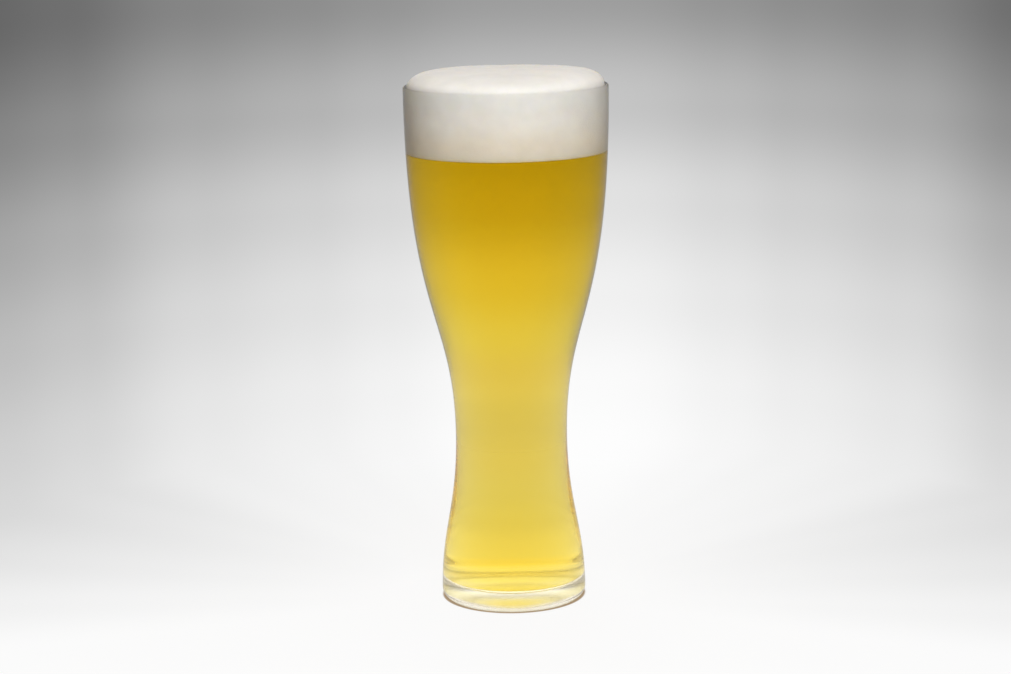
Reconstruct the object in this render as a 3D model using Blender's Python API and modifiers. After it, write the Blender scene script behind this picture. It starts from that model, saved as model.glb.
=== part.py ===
"""A waisted pilsner glass, poured full: the glass vessel, the beer in it and its head of foam.

Every piece is turned about +Z. The origin is the centre of the base, on the surface that the glass stands on.
"""

from math import cos, pi, sin

import bpy
from mathutils import Vector

# Outside of the glass
GLASS_HEIGHT = 0.215
RIM_RADIUS = 0.0419
WAIST_RADIUS = 0.0232
WAIST_HEIGHT = 0.069
FOOT_RADIUS = 0.0301
HEEL_RADIUS = 0.004

# Underside: a flat ring that the glass stands on, round a domed hollow
BEARING_WIDTH = 0.0034
PUNT_RISE = 0.0026

# Thickness of the glass at the lip, the waist, the swell of the foot and the middle of the floor
RIM_WALL = 0.0018
WAIST_WALL = 0.003
FOOT_WALL = 0.0034
FLOOR_THICKNESS = 0.0035

# Height of the widest place inside the foot, above the middle of the floor
WELL_DEPTH = 0.0037

# Contents: how deep the head goes below the lip, where it leaves the wall, and how far it stands above the lip
HEAD_DEPTH = 0.027
HEAD_EDGE_DROP = 0.0012
HEAD_CROWN = 0.0068
CLEARANCE = 0.0003

# How far each curve holds the direction of its end, as a share of the distance between its ends
RIM_HOLD = 0.66
BOWL_HOLD = 0.36
STEM_HOLD = 0.45
FOOT_HOLD = 0.38
WELL_HOLD = 0.74
FLOOR_HOLD = 0.6
CROWN_HOLD = 0.88
SHOULDER_HOLD = 1.0
PUNT_HOLD = 0.5

# Facets: steps round the axis, and spans along each stretch of a profile
TURN_STEPS = 64
BOWL_SPANS = 12
STEM_SPANS = 8
FLOOR_SPANS = 7
LIP_SPANS = 6
HEEL_SPANS = 4
PUNT_SPANS = 6
HEAD_WALL_SPANS = 3
CROWN_SPANS = 10

# Points of a turned piece closer than this are one point, and a height is found on a curve to within this share
MERGE_DISTANCE = 0.00001
SHARE_TOLERANCE = 1e-9

UP = Vector((0, 0, 1))
OUT = Vector((1, 0, 0))


def on_profile(radius, height):
    """A point of a profile, which lies in the half plane of +X and is turned about Z."""
    return OUT * radius + UP * height


def curve_point(curve, share):
    """The point of a cubic curve at a share of the way along it."""
    start, leaving, arriving, end = curve
    left = 1 - share
    return left**3 * start + 3 * left**2 * share * leaving + 3 * left * share**2 * arriving + share**3 * end


def trace(curve, spans, first=0.0, last=1.0):
    """Points along a cubic curve, from one share of the way to another, both ends included."""
    return [curve_point(curve, first + (last - first) * i / spans) for i in range(spans + 1)]


def arc(centre, radius, first, last, spans):
    """Points along a circular arc in the profile's plane, by angles counted from the outward direction."""
    angles = [first + (last - first) * i / spans for i in range(spans + 1)]
    return [centre + radius * (cos(a) * OUT + sin(a) * UP) for a in angles]


def share_at_height(curve, height):
    """How far along a falling curve it passes a height."""
    above, below = 0.0, 1.0
    while below - above > SHARE_TOLERANCE:
        middle = (above + below) / 2
        if curve_point(curve, middle).z > height:
            above = middle
        else:
            below = middle
    return above


def falling_curve(top, bottom, top_hold, bottom_hold):
    """A curve that leaves the top and reaches the bottom upright."""
    fall = top.z - bottom.z
    return top, top - UP * fall * top_hold, bottom + UP * fall * bottom_hold, bottom


def rounding_curve(side, middle, side_hold, middle_hold):
    """A curve from an upright side to a level place on the axis."""
    rise = side.z - middle.z
    return side, side - UP * rise * side_hold, middle + OUT * side.x * middle_hold, middle


LIP_RADIUS = RIM_WALL / 2
LIP_HEIGHT = GLASS_HEIGHT - LIP_RADIUS
FLOOR_HEIGHT = PUNT_RISE + FLOOR_THICKNESS
WELL_HEIGHT = FLOOR_HEIGHT + WELL_DEPTH
BEER_LEVEL = GLASS_HEIGHT - HEAD_DEPTH


def outside_curves():
    """The outside of the glass: from the lip to the waist, and from the waist to the heel."""
    lip = on_profile(RIM_RADIUS, LIP_HEIGHT)
    waist = on_profile(WAIST_RADIUS, WAIST_HEIGHT)
    heel = on_profile(FOOT_RADIUS, HEEL_RADIUS)
    return falling_curve(lip, waist, RIM_HOLD, BOWL_HOLD), falling_curve(waist, heel, STEM_HOLD, FOOT_HOLD)


def inside_curves(gap):
    """The inside of the glass, or what fills it with a gap all round: bowl, stem and rounded floor."""
    lip = on_profile(RIM_RADIUS - RIM_WALL - gap, LIP_HEIGHT)
    waist = on_profile(WAIST_RADIUS - WAIST_WALL - gap, WAIST_HEIGHT)
    well = on_profile(FOOT_RADIUS - FOOT_WALL - gap, WELL_HEIGHT)
    floor = on_profile(0, FLOOR_HEIGHT + gap)
    bowl = falling_curve(lip, waist, RIM_HOLD, BOWL_HOLD)
    stem = falling_curve(waist, well, STEM_HOLD, FOOT_HOLD)
    return bowl, stem, rounding_curve(well, floor, WELL_HOLD, FLOOR_HOLD)


def glass_profile():
    """Up the inside from the floor to the lip, over it, down the outside and under the foot to the axis."""
    bowl, stem, floor = inside_curves(0)
    inside_down = trace(bowl, BOWL_SPANS) + trace(stem, STEM_SPANS)[1:] + trace(floor, FLOOR_SPANS)[1:]
    lip = arc(on_profile(RIM_RADIUS - LIP_RADIUS, LIP_HEIGHT), LIP_RADIUS, pi, 0, LIP_SPANS)
    outer_bowl, outer_stem = outside_curves()
    outside = trace(outer_bowl, BOWL_SPANS)[1:] + trace(outer_stem, STEM_SPANS)[1:]
    bearing_edge = FOOT_RADIUS - HEEL_RADIUS
    heel = arc(on_profile(bearing_edge, HEEL_RADIUS), HEEL_RADIUS, 0, -pi / 2, HEEL_SPANS)
    ring_inside = on_profile(bearing_edge - BEARING_WIDTH, 0)
    punt_top = on_profile(0, PUNT_RISE)
    punt = (
        ring_inside,
        ring_inside.lerp(punt_top, PUNT_HOLD),
        punt_top + OUT * ring_inside.x * PUNT_HOLD,
        punt_top,
    )
    return inside_down[:0:-1] + lip + outside + heel[1:] + trace(punt, PUNT_SPANS)


def beer_profile():
    """Out along the level surface, down the wall of the glass and in over its floor."""
    bowl, stem, floor = inside_curves(CLEARANCE)
    surface = share_at_height(bowl, BEER_LEVEL)
    side = trace(bowl, BOWL_SPANS, surface) + trace(stem, STEM_SPANS)[1:]
    return [on_profile(0, BEER_LEVEL)] + side + trace(floor, FLOOR_SPANS)[1:]


def foam_profile():
    """Over the crown to the wall of the glass, down it, and in along the surface of the beer."""
    bowl, _, _ = inside_curves(CLEARANCE)
    edge_share = share_at_height(bowl, GLASS_HEIGHT - HEAD_EDGE_DROP)
    foot_share = share_at_height(bowl, BEER_LEVEL + CLEARANCE)
    edge = curve_point(bowl, edge_share)
    top = on_profile(0, GLASS_HEIGHT + HEAD_CROWN)
    crown = top, top + OUT * edge.x * CROWN_HOLD, edge + UP * (top.z - edge.z) * SHOULDER_HOLD, edge
    wall = trace(bowl, HEAD_WALL_SPANS, edge_share, foot_share)
    return trace(crown, CROWN_SPANS) + wall[1:] + [on_profile(0, wall[-1].z)]


def material(name, colour, roughness, transmission=0.0, ior=1.45):
    """A Principled finish."""
    finish = bpy.data.materials.new(name)
    finish.use_nodes = True
    shader = finish.node_tree.nodes["Principled BSDF"]
    shader.inputs["Base Color"].default_value = (*colour, 1)
    shader.inputs["Metallic"].default_value = 0.0
    shader.inputs["Roughness"].default_value = roughness
    shader.inputs["Transmission Weight"].default_value = transmission
    shader.inputs["IOR"].default_value = ior
    return finish


def turned(name, profile, finish, collection, parent):
    """A named solid, turned once round Z from a profile that runs down its outer side."""
    mesh = bpy.data.meshes.new(name)
    links = [(i, i + 1) for i in range(len(profile) - 1)]
    mesh.from_pydata(profile, links, [])
    mesh.materials.append(finish)
    piece = bpy.data.objects.new(name, mesh)
    collection.objects.link(piece)
    piece.parent = parent
    screw = piece.modifiers.new("Turn", "SCREW")
    screw.axis = "Z"
    screw.angle = 2 * pi
    screw.steps = TURN_STEPS
    screw.render_steps = TURN_STEPS
    screw.use_merge_vertices = True
    screw.merge_threshold = MERGE_DISTANCE
    screw.use_smooth_shade = True
    return piece


for leftover in list(bpy.data.objects):
    bpy.data.objects.remove(leftover, do_unlink=True)

pieces = bpy.data.collections.new("Pilsner glass")
bpy.context.scene.collection.children.link(pieces)
standing_point = bpy.data.objects.new("standing_point", None)
pieces.objects.link(standing_point)

clear_glass = material("clear_glass", (0.98, 0.99, 0.98), 0.01, 1.0, 1.52)
pale_lager = material("pale_lager", (0.78, 0.52, 0.05), 0.02, 0.9, 1.34)
white_foam = material("white_foam", (0.9, 0.88, 0.8), 0.85)

turned("glass", glass_profile(), clear_glass, pieces, standing_point)
turned("beer", beer_profile(), pale_lager, pieces, standing_point)
turned("foam_head", foam_profile(), white_foam, pieces, standing_point)
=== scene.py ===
from math import cos, pi, radians, sin

import bpy
from mathutils import Matrix, Vector, noise


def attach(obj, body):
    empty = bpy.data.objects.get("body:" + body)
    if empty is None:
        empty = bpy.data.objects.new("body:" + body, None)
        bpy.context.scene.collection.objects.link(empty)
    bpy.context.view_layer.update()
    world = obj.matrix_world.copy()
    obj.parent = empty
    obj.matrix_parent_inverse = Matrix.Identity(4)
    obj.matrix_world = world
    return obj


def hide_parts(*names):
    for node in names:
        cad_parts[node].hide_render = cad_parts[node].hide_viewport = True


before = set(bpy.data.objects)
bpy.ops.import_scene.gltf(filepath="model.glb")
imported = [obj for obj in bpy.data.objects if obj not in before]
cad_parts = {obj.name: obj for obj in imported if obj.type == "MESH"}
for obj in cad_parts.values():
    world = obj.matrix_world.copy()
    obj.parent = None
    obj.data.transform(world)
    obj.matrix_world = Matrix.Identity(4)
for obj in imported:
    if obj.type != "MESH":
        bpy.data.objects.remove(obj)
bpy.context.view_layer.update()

# The vessel: one piece of clear soda-lime glass, blown into a turned mould, with a wall that thickens from
# the fire-polished lip to the foot. It stands on a narrow ground ring round a satin hollow, inside a soft
# heel. The foot of the wall carries painted light: a gold cast, as of the light that the beer throws into
# it.
GLASS_HEIGHT = 0.215
RIM_RADIUS = 0.0419
WAIST_RADIUS = 0.0232
WAIST_HEIGHT = 0.069
FOOT_RADIUS = 0.0301
HEEL_RADIUS = 0.004
BEARING_WIDTH = 0.0034
PUNT_RISE = 0.0026
RIM_WALL = 0.0018
WAIST_WALL = 0.003
FOOT_WALL = 0.0034
FLOOR_THICKNESS = 0.0035
WELL_DEPTH = 0.0037
LIP_RADIUS = RIM_WALL / 2
LIP_HEIGHT = GLASS_HEIGHT - LIP_RADIUS
FLOOR_HEIGHT = PUNT_RISE + FLOOR_THICKNESS
BEARING_EDGE = FOOT_RADIUS - HEEL_RADIUS

# How far each curve of the wall holds the direction of its end, as a share of the distance between its ends
RIM_HOLD = 0.66
BOWL_HOLD = 0.36
STEM_HOLD = 0.45
FOOT_HOLD = 0.38
WELL_HOLD = 0.74
FLOOR_HOLD = 0.6
PUNT_HOLD = 0.5

# Steps round the axis, and spans along each stretch of the wall
GLASS_STEPS = 192
BOWL_SPANS = 56
STEM_SPANS = 36
WELL_SPANS = 28
LIP_SPANS = 12
HEEL_SPANS = 12
PUNT_SPANS = 16

# How rough the glass is: a little toward the foot of the wall, more down the heel, and fully on the ring
SOFT_HEIGHT = 0.045
INSIDE_SOFT = 0.07
OUTSIDE_SOFT = 0.1
HEEL_GROUND = 0.6
RING_GROUND = 1.0
HOLLOW_GROUND = 0.25

AXIS_TOLERANCE = 1e-6
CREASE_ANGLE = radians(40)
UP = Vector((0, 0, 1))
OUT = Vector((1, 0, 0))


def on_profile(radius, height):
    """A point of a profile in the half plane of +X, which is turned about Z."""
    return OUT * radius + UP * height


def curve_point(curve, share):
    """The point of a cubic curve at a share of the way along it."""
    start, leaving, arriving, end = curve
    left = 1 - share
    return left**3 * start + 3 * left**2 * share * leaving + 3 * left * share**2 * arriving + share**3 * end


def trace(curve, spans, first=0.0, last=1.0):
    """Points along a cubic curve, from one share of the way to another, both ends included."""
    return [curve_point(curve, first + (last - first) * i / spans) for i in range(spans + 1)]


def arc(centre, radius, first, last, spans):
    """Points along a circular arc in the profile's plane, by angles counted from the outward direction."""
    angles = [first + (last - first) * i / spans for i in range(spans + 1)]
    return [centre + radius * (cos(a) * OUT + sin(a) * UP) for a in angles]


def falling_curve(top, bottom, top_hold, bottom_hold):
    """A curve that leaves the top and reaches the bottom upright."""
    fall = top.z - bottom.z
    return top, top - UP * fall * top_hold, bottom + UP * fall * bottom_hold, bottom


def inside_curves(gap):
    """The inside of the glass with a gap all round it, or a negative gap to reach into the wall."""
    lip = on_profile(RIM_RADIUS - RIM_WALL - gap, LIP_HEIGHT)
    waist = on_profile(WAIST_RADIUS - WAIST_WALL - gap, WAIST_HEIGHT)
    well = on_profile(FOOT_RADIUS - FOOT_WALL - gap, FLOOR_HEIGHT + WELL_DEPTH)
    floor = on_profile(0, FLOOR_HEIGHT + gap)
    bowl = falling_curve(lip, waist, RIM_HOLD, BOWL_HOLD)
    stem = falling_curve(waist, well, STEM_HOLD, FOOT_HOLD)
    rise = well.z - floor.z
    return bowl, stem, (well, well - UP * rise * WELL_HOLD, floor + OUT * well.x * FLOOR_HOLD, floor)


def turned_piece(name, profile, steps, **marks):
    """A mesh turned round Z from a profile, with its outer side where the profile runs down.

    It is closed if the profile goes from axis to axis. Each mark is a list with a value for every point of
    the profile, kept on the mesh for its finish.
    """
    points, rings, faces = [], [], []
    values = {mark: [] for mark in marks}
    for i, p in enumerate(profile):
        on_axis = p.x < AXIS_TOLERANCE
        rings.append([len(points) + (0 if on_axis else k) for k in range(steps)])
        turns = [0] if on_axis else [2 * pi * k / steps for k in range(steps)]
        points += [(p.x * cos(t), p.x * sin(t), p.z) for t in turns]
        for mark in marks:
            values[mark] += [marks[mark][i]] * len(turns)
    for upper, lower in zip(rings, rings[1:]):
        for k in range(steps):
            j = (k + 1) % steps
            corners = dict.fromkeys((upper[k], lower[k], lower[j], upper[j]))
            faces.append(list(corners))
    mesh = bpy.data.meshes.new(name)
    mesh.from_pydata(points, [], faces)
    for mark in marks:
        mesh.attributes.new(mark, "FLOAT", "POINT").data.foreach_set("value", values[mark])
    mesh.shade_smooth()
    mesh.set_sharp_from_angle(angle=CREASE_ANGLE)
    piece = bpy.data.objects.new(name, mesh)
    bpy.context.scene.collection.objects.link(piece)
    return piece


def new_finish(name):
    """A new finish, its nodes and their plain shader."""
    finish = bpy.data.materials.new(name)
    finish.use_nodes = True
    return finish, finish.node_tree, finish.node_tree.nodes["Principled BSDF"]


def feed(tree, made, sockets):
    """Plain values set on a node's inputs as they are, and links from what other nodes give."""
    for socket, value in sockets.items():
        if isinstance(value, (int, float, tuple)):
            made.inputs[socket].default_value = value
        else:
            tree.links.new(value, made.inputs[socket])


def node(tree, kind, sockets=(), **settings):
    """What a new node gives, once it has its settings and its inputs are fed."""
    made = tree.nodes.new(kind)
    for setting, choice in settings.items():
        setattr(made, setting, choice)
    feed(tree, made, dict(sockets))
    return made.outputs


def scaled(tree, value, first, last, from_first, from_last):
    """A value taken from one span to another, and held at its ends."""
    spans = {"From Min": first, "From Max": last, "To Min": from_first, "To Max": from_last}
    return node(tree, "ShaderNodeMapRange", {"Value": value, **spans})["Result"]


def combined(tree, operation, *values):
    """A sum, product or the like of values."""
    return node(tree, "ShaderNodeMath", enumerate(values), operation=operation)["Value"]


def toned(tree, value, stops):
    """A smooth ramp through greys or colours by a value from 0 to 1, its two ends first."""
    ramp = tree.nodes.new("ShaderNodeValToRGB")
    ramp.color_ramp.interpolation = "EASE"
    marks = ramp.color_ramp.elements
    for i, (share, tone) in enumerate(stops):
        mark = marks[i] if i < 2 else marks.new(share)
        mark.position = share
        mark.color = (*tone, 1) if isinstance(tone, tuple) else (tone, tone, tone, 1)
    feed(tree, ramp, {"Fac": value})
    return ramp.outputs["Color"]


def blended(tree, share, first, second):
    """One shader that gives way to another by a share."""
    return node(tree, "ShaderNodeMixShader", {"Fac": share, 1: first, 2: second})["Shader"]


def let_lamps_through(tree, shader, tint):
    """Lamp light crosses the piece with a tint, where the plain shader would throw a black shadow."""
    from_lamp = node(tree, "ShaderNodeLightPath")["Is Shadow Ray"]
    clear = node(tree, "ShaderNodeBsdfTransparent", {"Color": (*tint, 1)})["BSDF"]
    surface = blended(tree, from_lamp, shader.outputs["BSDF"], clear)
    feed(tree, tree.nodes["Material Output"], {"Surface": surface})


bowl, stem, well = inside_curves(0)
inside_down = trace(bowl, BOWL_SPANS) + trace(stem, STEM_SPANS)[1:] + trace(well, WELL_SPANS)[1:]
inside = inside_down[:0:-1]
lip = arc(on_profile(RIM_RADIUS - LIP_RADIUS, LIP_HEIGHT), LIP_RADIUS, pi, 0, LIP_SPANS)
outer_lip = on_profile(RIM_RADIUS, LIP_HEIGHT)
outer_waist = on_profile(WAIST_RADIUS, WAIST_HEIGHT)
outer_heel = on_profile(FOOT_RADIUS, HEEL_RADIUS)
outside = trace(falling_curve(outer_lip, outer_waist, RIM_HOLD, BOWL_HOLD), BOWL_SPANS)[1:]
outside += trace(falling_curve(outer_waist, outer_heel, STEM_HOLD, FOOT_HOLD), STEM_SPANS)[1:]
heel = arc(on_profile(BEARING_EDGE, HEEL_RADIUS), HEEL_RADIUS, 0, -pi / 2, HEEL_SPANS)[1:-1]
ring_outside = on_profile(BEARING_EDGE, 0)
ring_inside = on_profile(BEARING_EDGE - BEARING_WIDTH, 0)
punt_top = on_profile(0, PUNT_RISE)
punt_leaving = ring_inside.lerp(punt_top, PUNT_HOLD)
punt_arriving = punt_top + OUT * ring_inside.x * PUNT_HOLD
hollow = trace((ring_inside, punt_leaving, punt_arriving, punt_top), PUNT_SPANS)[1:]
ground = [INSIDE_SOFT * max(0.0, 1 - p.z / SOFT_HEIGHT) for p in inside]
ground += [OUTSIDE_SOFT * max(0.0, 1 - p.z / SOFT_HEIGHT) for p in lip + outside]
ground += [OUTSIDE_SOFT + HEEL_GROUND * i / len(heel) for i in range(1, len(heel) + 1)]
ground += [RING_GROUND, RING_GROUND, RING_GROUND / 2] + [HOLLOW_GROUND] * (len(hollow) - 1)
wall = inside + lip + outside + heel + [ring_outside, ring_inside] + hollow
glass = turned_piece("glass_vessel", wall, GLASS_STEPS, ground=ground)

clear_glass, tree, shader = new_finish("clear_glass")
place = node(tree, "ShaderNodeTexCoord")["Object"]
film = node(tree, "ShaderNodeTexNoise", {"Vector": place, "Scale": 45, "Detail": 4})["Fac"]
film_haze = scaled(tree, film, 0.45, 0.75, 0.0, 0.02)
ground_part = node(tree, "ShaderNodeAttribute", attribute_name="ground")["Fac"]
# Painted light: a gold band low on the outside of the foot, and a faint warm tint under it, as light from
# the beer
painted_gold_cast_tones = (
    (0, (0.985, 0.995, 0.985)),
    (1, (1.0, 0.96, 0.95)),
    (0.078, (0.99, 0.985, 0.95)),
    (0.086, (1.0, 0.915, 0.52)),
    (0.15, (1.0, 0.96, 0.95)),
)
feed(tree, shader, {
    "Base Color": toned(tree, ground_part, painted_gold_cast_tones),
    "Roughness": combined(tree, "ADD", ground_part, film_haze),
    "Transmission Weight": 1.0,
    "IOR": 1.5,
    "Specular Tint": (0.12, 0.12, 0.12, 1),
})
let_lamps_through(tree, shader, (0.97, 0.97, 0.96))
glass.data.materials.append(clear_glass)
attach(glass, "root")
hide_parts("glass")

# The beer: pale lager, poured to a level 27 mm below the lip. It wets the glass, so its skin lies a hair
# inside the wall, and no film of air shows between the two. Its own gold deepens where the glass is wide;
# over that, its colour is painted palest over the floor, as light from the table below, and darker toward
# the top, as painted shade under the head.
HEAD_DEPTH = 0.027
BEER_LEVEL = GLASS_HEIGHT - HEAD_DEPTH
WETTING = 0.0002
BEER_STEPS = 160
BEER_BOWL_SPANS = 48
BEER_TOP_SPANS = 6
HEIGHT_HALVINGS = 40


def share_at_height(curve, height):
    """How far along a falling curve it passes a height."""
    above, below = 0.0, 1.0
    for _ in range(HEIGHT_HALVINGS):
        middle = (above + below) / 2
        if curve_point(curve, middle).z > height:
            above = middle
        else:
            below = middle
    return above


bowl, stem, well = inside_curves(-WETTING)
beer_side = trace(bowl, BEER_BOWL_SPANS, share_at_height(bowl, BEER_LEVEL))
beer_side += trace(stem, STEM_SPANS)[1:] + trace(well, WELL_SPANS)[1:]
beer_top = [on_profile(beer_side[0].x * i / BEER_TOP_SPANS, BEER_LEVEL) for i in range(BEER_TOP_SPANS)]
beer = turned_piece("beer_fill", beer_top + beer_side, BEER_STEPS)

pale_lager, tree, shader = new_finish("pale_lager")
place = node(tree, "ShaderNodeTexCoord")["Object"]
height = node(tree, "ShaderNodeSeparateXYZ", {"Vector": place})["Z"]
# Painted light and shade: near white over the floor, deepening to gold toward the top under the head
painted_beer_shading = (
    (0, (1.0, 1.0, 1.0)),
    (1, (0.44, 0.37, 0.025)),
    (0.06, (1.0, 1.0, 0.98)),
    (0.115, (0.93, 0.92, 0.86)),
    (0.18, (0.85, 0.83, 0.76)),
    (0.31, (0.83, 0.76, 0.58)),
    (0.36, (0.78, 0.71, 0.535)),
    (0.42, (0.7, 0.637, 0.465)),
    (0.5, (0.685, 0.613, 0.44)),
    (0.6, (0.715, 0.665, 0.44)),
    (0.72, (0.69, 0.62, 0.28)),
    (0.89, (0.515, 0.44, 0.055)),
)
feed(tree, shader, {
    "Base Color": toned(tree, scaled(tree, height, FLOOR_HEIGHT, BEER_LEVEL, 0, 1), painted_beer_shading),
    "Roughness": 0.0,
    "Transmission Weight": 1.0,
    "IOR": 1.34,
    "Specular Tint": (0, 0, 0, 1),
})
body = node(tree, "ShaderNodeVolumeAbsorption", {"Color": (0.974, 0.86, 0.03, 1), "Density": 46})["Volume"]
feed(tree, tree.nodes["Material Output"], {"Volume": body})
let_lamps_through(tree, shader, (0.9, 0.7, 0.3))
beer.data.materials.append(pale_lager)
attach(beer, "root")
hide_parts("beer")

# The head: a dense white froth of fine bubbles that rises off the beer, clings to the wall up to the lip
# and stands above it as a low, flat-topped dome, which sags a little at its edges. It is creamier near the
# beer, where its bubbles are still wet, and its foot there is also painted brighter, as light from the
# beer.
# A painted shade darkens the shoulder of the dome.
HEAD_EDGE_DROP = 0.0012
HEAD_CROWN = 0.0068
CROWN_HOLD = 0.88
CLING = 0.0001
SOAK = 0.0001
FOAM_STEPS = 288
CROWN_SPANS = 64
HEAD_SIDE_SPANS = 30
HEAD_UNDER_SPANS = 8

# How high the froth swells, and how far the edge of the dome lifts or sags on each side
SWELL_HEIGHT = 0.0003
SWELLS_PER_METRE = 45
FINE_SWELL_HEIGHT = 0.00006
FINE_SWELLS_PER_METRE = 420
SIDE_LIFT = 0.00016
DEPTH_SAG = 0.00192
FRONT_SAG = 0.001
LEFT_SAG = 0.0008
SHOULDER_SAG = 0.0012

bowl, stem, well = inside_curves(-CLING)
edge_share = share_at_height(bowl, GLASS_HEIGHT - HEAD_EDGE_DROP)
edge = curve_point(bowl, edge_share)
dome = on_profile(0, GLASS_HEIGHT + HEAD_CROWN)
crown = dome, dome + OUT * edge.x * CROWN_HOLD, edge + UP * (dome.z - edge.z), edge
head_foot = BEER_LEVEL - SOAK
head_side = trace(bowl, HEAD_SIDE_SPANS, edge_share, share_at_height(bowl, head_foot))
inward = [1 - i / HEAD_UNDER_SPANS for i in range(1, HEAD_UNDER_SPANS + 1)]
head_under = [on_profile(head_side[-1].x * share, head_foot) for share in inward]
foam = turned_piece("foam_froth", trace(crown, CROWN_SPANS) + head_side[1:] + head_under, FOAM_STEPS)
for v in foam.data.vertices:
    above_edge = max(0.0, v.co.z - edge.z) / (dome.z - edge.z)
    across, along = v.co.x / edge.x, v.co.y / edge.x
    swell = noise.fractal(v.co * SWELLS_PER_METRE, 1.0, 2.0, 3) * SWELL_HEIGHT
    swell += noise.noise(v.co * FINE_SWELLS_PER_METRE) * FINE_SWELL_HEIGHT
    sag = DEPTH_SAG * along**2 - SIDE_LIFT * across**2
    sag += FRONT_SAG * max(0.0, -along)**2 + LEFT_SAG * max(0.0, -across)**3 + SHOULDER_SAG * across**8
    v.co += UP * (swell - sag) * above_edge

white_foam, tree, shader = new_finish("white_foam")
place = node(tree, "ShaderNodeTexCoord")["Object"]
height = node(tree, "ShaderNodeSeparateXYZ", {"Vector": place})["Z"]
# The gold-cream foot is partly wet froth and partly painted light from the beer; the darker stop at 0.86 is
# painted shade on the dome's shoulder
cream_with_painted_light = (
    (0, (1.0, 0.86, 0.56)),
    (1, (0.95, 0.955, 0.94)),
    (0.04, (0.93, 0.86, 0.72)),
    (0.1, (0.91, 0.845, 0.74)),
    (0.5, (0.93, 0.905, 0.87)),
    (0.76, (0.94, 0.955, 0.95)),
    (0.86, (0.885, 0.89, 0.875)),
)
foam_colour_with_painted_light = toned(tree, scaled(tree, height, BEER_LEVEL, dome.z, 0, 1), cream_with_painted_light)
patches = node(tree, "ShaderNodeTexNoise", {"Vector": place, "Scale": 110, "Detail": 3})["Fac"]
mottle = {0: foam_colour_with_painted_light, "Scale": scaled(tree, patches, 0.3, 0.7, 0.95, 1.03)}
bubbles = node(tree, "ShaderNodeTexVoronoi", {"Vector": place, "Scale": 1500})["Distance"]
relief = {"Height": bubbles, "Strength": 0.25, "Distance": 0.0003}
feed(tree, shader, {
    "Base Color": node(tree, "ShaderNodeVectorMath", mottle, operation="SCALE")["Vector"],
    "Roughness": 0.8,
    "Normal": node(tree, "ShaderNodeBump", relief)["Normal"],
    "Subsurface Weight": 0.7,
    "Subsurface Radius": (1.0, 0.9, 0.7),
    "Subsurface Scale": 0.005,
})
foam.data.materials.append(white_foam)
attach(foam, "root")
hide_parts("foam_head")

# The table: a plain white top that fades a little toward both sides. A painted brown shadow lies under the
# foot and a little behind it. Through the glass the top shows painted light: pale gold, as the beer's
# light, and brighter where the foot gathers light.
TENT_RADIUS = 0.28
TABLE_RADIUS = 1.5
TABLE_DROP = 0.0001
STAGE_STEPS = 96
WHITE = 0.985
GATHER_RADIUS = 0.08
FADE_START = 0.05
SHADE_SHIFT = 0.0025
SHADE_HALF_WIDTH = 0.0305
SHADE_HALF_DEPTH = 0.031
BRIGHT_SIDE = (0.087, 0.996, 0)
side_tones = (
    (0, 1),
    (1, 1),
    (0.3, 0.95),
    (0.45, 0.7),
    (0.6, 0.48),
    (0.72, 0.4),
    (0.8, 0.47),
    (0.89, 0.69),
    (0.95, 0.79),
    (0.975, 0.87),
)


def vector(tree, operation, *values):
    """A vector worked out from others, or its length or share along another."""
    made = node(tree, "ShaderNodeVectorMath", enumerate(values), operation=operation)
    return made["Value" if operation in ("LENGTH", "DOT_PRODUCT") else "Vector"]


def mixed(tree, way, amount, first, second):
    """Two colours mixed, or multiplied, by an amount."""
    colours = {"Fac": amount, "Color1": first, "Color2": second}
    return node(tree, "ShaderNodeMixRGB", colours, blend_type=way)["Color"]


def faded_sides(tree, position, colour, amount):
    """A colour that falls off to both sides of the brightest part of the tent, behind the glass."""
    heading = vector(tree, "NORMALIZE", vector(tree, "MULTIPLY", position, (1, 1, 0)))
    turn = scaled(tree, vector(tree, "DOT_PRODUCT", heading, BRIGHT_SIDE), -1, 1, 0, 1)
    return mixed(tree, "MULTIPLY", amount, colour, toned(tree, turn, side_tones))


def sight_level(tree, path, off_glass, off_matte):
    """1 for a ray from the camera or through glass, and another level off glass or off a matte surface."""
    mirrored = scaled(tree, path["Is Reflection Ray"], 0, 1, 1, off_glass)
    off_once = combined(tree, "MINIMUM", path["Diffuse Depth"], 1)
    return combined(tree, "MULTIPLY", mirrored, combined(tree, "POWER", off_matte, off_once))


table_rings = [on_profile(r, 0) for r in (0, 0.1, 0.2, TENT_RADIUS, TABLE_RADIUS)]
table = turned_piece("table_top", table_rings, STAGE_STEPS)
table.location.z = -TABLE_DROP

white_top, tree, shader = new_finish("white_table")
feed(tree, shader, {"Base Color": (0.9, 0.9, 0.9, 1), "Roughness": 0.9, "Specular IOR Level": 0.0})
position = node(tree, "ShaderNodeNewGeometry")["Position"]
path = node(tree, "ShaderNodeLightPath")
through = path["Is Transmission Ray"]
distance = vector(tree, "LENGTH", position)
near = scaled(tree, distance, 0, GATHER_RADIUS, 0, 1)
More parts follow.
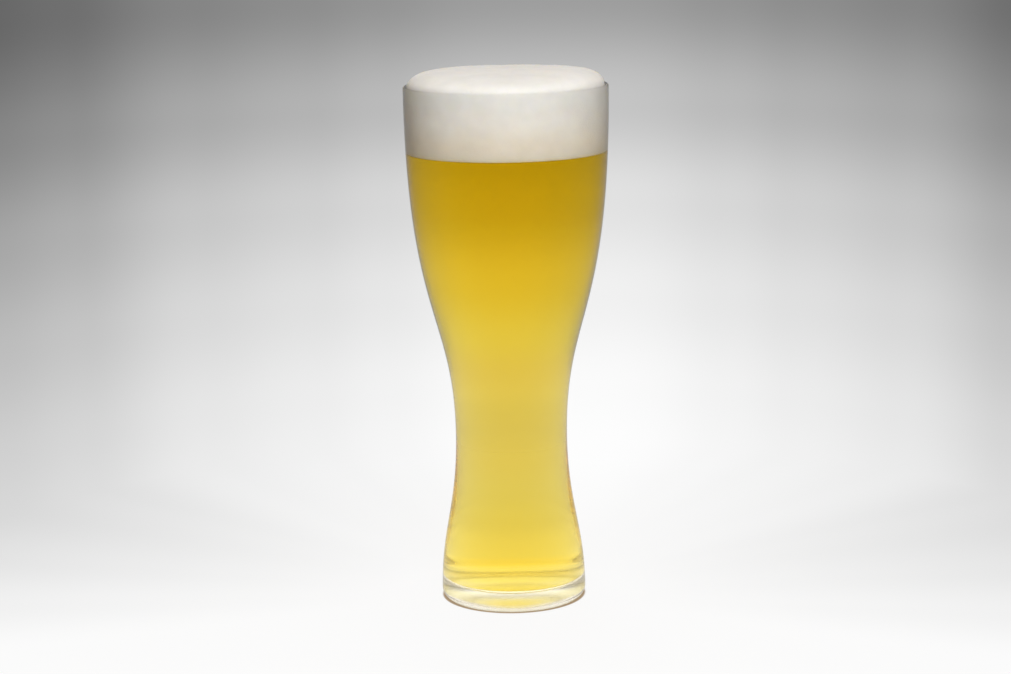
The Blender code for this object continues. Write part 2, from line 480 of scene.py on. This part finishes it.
# Painted light: through the glass the top is pale gold, as light the beer casts, and brighter near the
# foot, as light the foot gathers
painted_caustic_tones = ((0, (1, 0.95, 0.72)), (1, WHITE), (0.325, (1, 0.95, 0.74)), (0.36, (WHITE, WHITE, 0.95)))
painted_gather_tones = ((0, 0.75), (1, 0.0), (0.38, 0.25), (0.5, 0.15), (0.65, 0.08))
shade_tones = ((0, (0.28, 0.19, 0.09)), (1, WHITE), (0.485, (0.36, 0.25, 0.14)), (0.5, WHITE))
shade_scale = (1 / SHADE_HALF_WIDTH, 1 / SHADE_HALF_DEPTH, 0)
shade_start = (0, -SHADE_SHIFT / SHADE_HALF_DEPTH, 0)
from_shade = vector(tree, "LENGTH", vector(tree, "MULTIPLY_ADD", position, shade_scale, shade_start))
shaded = toned(tree, scaled(tree, from_shade, 0, 2, 0, 1), shade_tones)
top_colour = mixed(tree, "MIX", through, shaded, toned(tree, near, painted_caustic_tones))
through_fade = scaled(tree, through, 0, 1, 0.5, 0.1)
edge_fade = combined(tree, "MULTIPLY", scaled(tree, distance, FADE_START, TENT_RADIUS, 0, 1), through_fade)
painted_gathered_light = combined(tree, "MULTIPLY_ADD", through, toned(tree, near, painted_gather_tones), 1)
glow = node(tree, "ShaderNodeEmission", {
    "Color": faded_sides(tree, position, top_colour, edge_fade),
    "Strength": combined(tree, "MULTIPLY", painted_gathered_light, sight_level(tree, path, 0.6, 1)),
})["Emission"]
seen = combined(tree, "MAXIMUM", path["Is Camera Ray"], path["Is Glossy Ray"])
seen = combined(tree, "MULTIPLY", seen, sight_level(tree, path, 1, 0))
glow_share = combined(tree, "MULTIPLY", seen, scaled(tree, distance, FADE_START, 0.24, 0.92, 1))
surface = blended(tree, glow_share, shader.outputs["BSDF"], glow)
feed(tree, tree.nodes["Material Output"], {"Surface": surface})
table.data.materials.append(white_top)

# The tent: a round wall of white cloth that stands about the glass, bright at the table and grey higher up.
# Through the glass it is bright all over. It shows from inside only, so it lies behind every view.
TENT_HEIGHT = 1.2
GREY_HEIGHT = 0.5
FROTH_LIGHT = (1, 0.78, 0.5, 1)

tent_rings = [on_profile(TENT_RADIUS, z) for z in (0, TENT_HEIGHT / 2, TENT_HEIGHT)]
tent = turned_piece("tent_wall", tent_rings, STAGE_STEPS)
tent.visible_diffuse = False
tent.visible_shadow = False

tent_cloth, tree, shader = new_finish("tent_cloth")
tree.nodes.remove(shader)
where = node(tree, "ShaderNodeNewGeometry")
position = where["Position"]
height = node(tree, "ShaderNodeSeparateXYZ", {"Vector": position})["Z"]
path = node(tree, "ShaderNodeLightPath")
through = path["Is Transmission Ray"]
up_wall = scaled(tree, height, 0, GREY_HEIGHT, 0, 1)
plain_tones = (
    (0, WHITE),
    (1, 0.22),
    (0.06, 0.965),
    (0.16, 0.88),
    (0.26, 0.76),
    (0.36, 0.56),
    (0.47, 0.34),
)
through_tones = ((0, 0.82), (1, 1), (0.12, 1.0))
plain_fade = scaled(tree, height, 0, 0.2, 0.5, 1)
plain_cloth = faded_sides(tree, position, toned(tree, up_wall, plain_tones), plain_fade)
through_fade = scaled(tree, height, 0.08, 0.14, 0.1, 0.62)
through_cloth = faded_sides(tree, position, toned(tree, up_wall, through_tones), through_fade)
cloth = mixed(tree, "MIX", through, plain_cloth, through_cloth)
# Painted light: seen from the froth deep behind the beer, the cloth glows gold and brighter, as light that
# the beer throws up under the head
off_froth = combined(tree, "MINIMUM", path["Diffuse Depth"], 1)
froth_level = scaled(tree, path["Transmission Depth"], 3, 5, 0.2, 1.6)
through_gain = scaled(tree, through, 0, 1, 1, 1.2)
glow = node(tree, "ShaderNodeEmission", {
    "Color": mixed(tree, "MULTIPLY", off_froth, cloth, FROTH_LIGHT),
    "Strength": combined(tree, "MULTIPLY", through_gain, sight_level(tree, path, 0.6, froth_level)),
})["Emission"]
clear = node(tree, "ShaderNodeBsdfTransparent")["BSDF"]
feed(tree, tree.nodes["Material Output"], {"Surface": blended(tree, where["Backfacing"], glow, clear)})
tent.data.materials.append(tent_cloth)

# The light: a dim warm room, one soft lamp high in front and a little to the right, a faint one overhead
# and one low behind, which lights the back of the head.
LAMP_SIZE = 0.6
LAMP_AIM = Vector((0, 0, 0.15))
lamps = (
    ("front_lamp", 14.0, (0.16, -1.05, 1.1)),
    ("top_lamp", 1.1, (0, -0.2, 1.2)),
    ("back_lamp", 6.0, (-0.2, 1.2, 0.3)),
)

room = bpy.data.worlds.new("white_room")
bpy.context.scene.world = room
room.use_nodes = True
tree = room.node_tree
path = node(tree, "ShaderNodeLightPath")
through = combined(tree, "MULTIPLY", path["Is Transmission Ray"], sight_level(tree, path, 1, 0))
room_tones = ((0, (0.25, 0.207, 0.153)), (1, 1))
feed(tree, tree.nodes["Background"], {"Color": toned(tree, through, room_tones), "Strength": 1.0})
for name, watts, spot in lamps:
    lamp = bpy.data.lights.new(name, "AREA")
    lamp.size = LAMP_SIZE
    lamp.energy = watts
    stand = bpy.data.objects.new(name, lamp)
    stand.location = spot
    stand.rotation_euler = (LAMP_AIM - stand.location).to_track_quat("-Z", "Y").to_euler()
    stand.visible_glossy = False
    stand.visible_transmission = False
    bpy.context.scene.collection.objects.link(stand)

# The camera: a long lens that stands a metre in front of the glass and a little above its top. It is tipped
# 11 degrees down and turned a degree about its own line of sight.
IMAGE_WIDTH = 1011
FOCAL_PIXELS = 2539.3
SHIFT_PIXELS = -4.35
SENSOR_WIDTH = 36
CAMERA_SPOT = (0, -1.0332, 0.3107)
CAMERA_TIP = radians(10.972)
CAMERA_ROLL = radians(0.967)
LIGHT_BOUNCES = 32

camera = bpy.data.cameras.new("camera")
camera.sensor_width = SENSOR_WIDTH
camera.lens = FOCAL_PIXELS / IMAGE_WIDTH * SENSOR_WIDTH
camera.shift_x = SHIFT_PIXELS / IMAGE_WIDTH
viewer = bpy.data.objects.new("camera", camera)
facing = Matrix.Rotation(pi / 2 - CAMERA_TIP, 4, "X") @ Matrix.Rotation(-CAMERA_ROLL, 4, "Z")
viewer.matrix_world = Matrix.Translation(CAMERA_SPOT) @ facing
bpy.context.scene.collection.objects.link(viewer)
bpy.context.scene.camera = viewer
bpy.context.scene.view_settings.view_transform = "Standard"
bpy.context.scene.cycles.max_bounces = LIGHT_BOUNCES
bpy.context.scene.cycles.transmission_bounces = LIGHT_BOUNCES
bpy.context.scene.cycles.glossy_bounces = LIGHT_BOUNCES
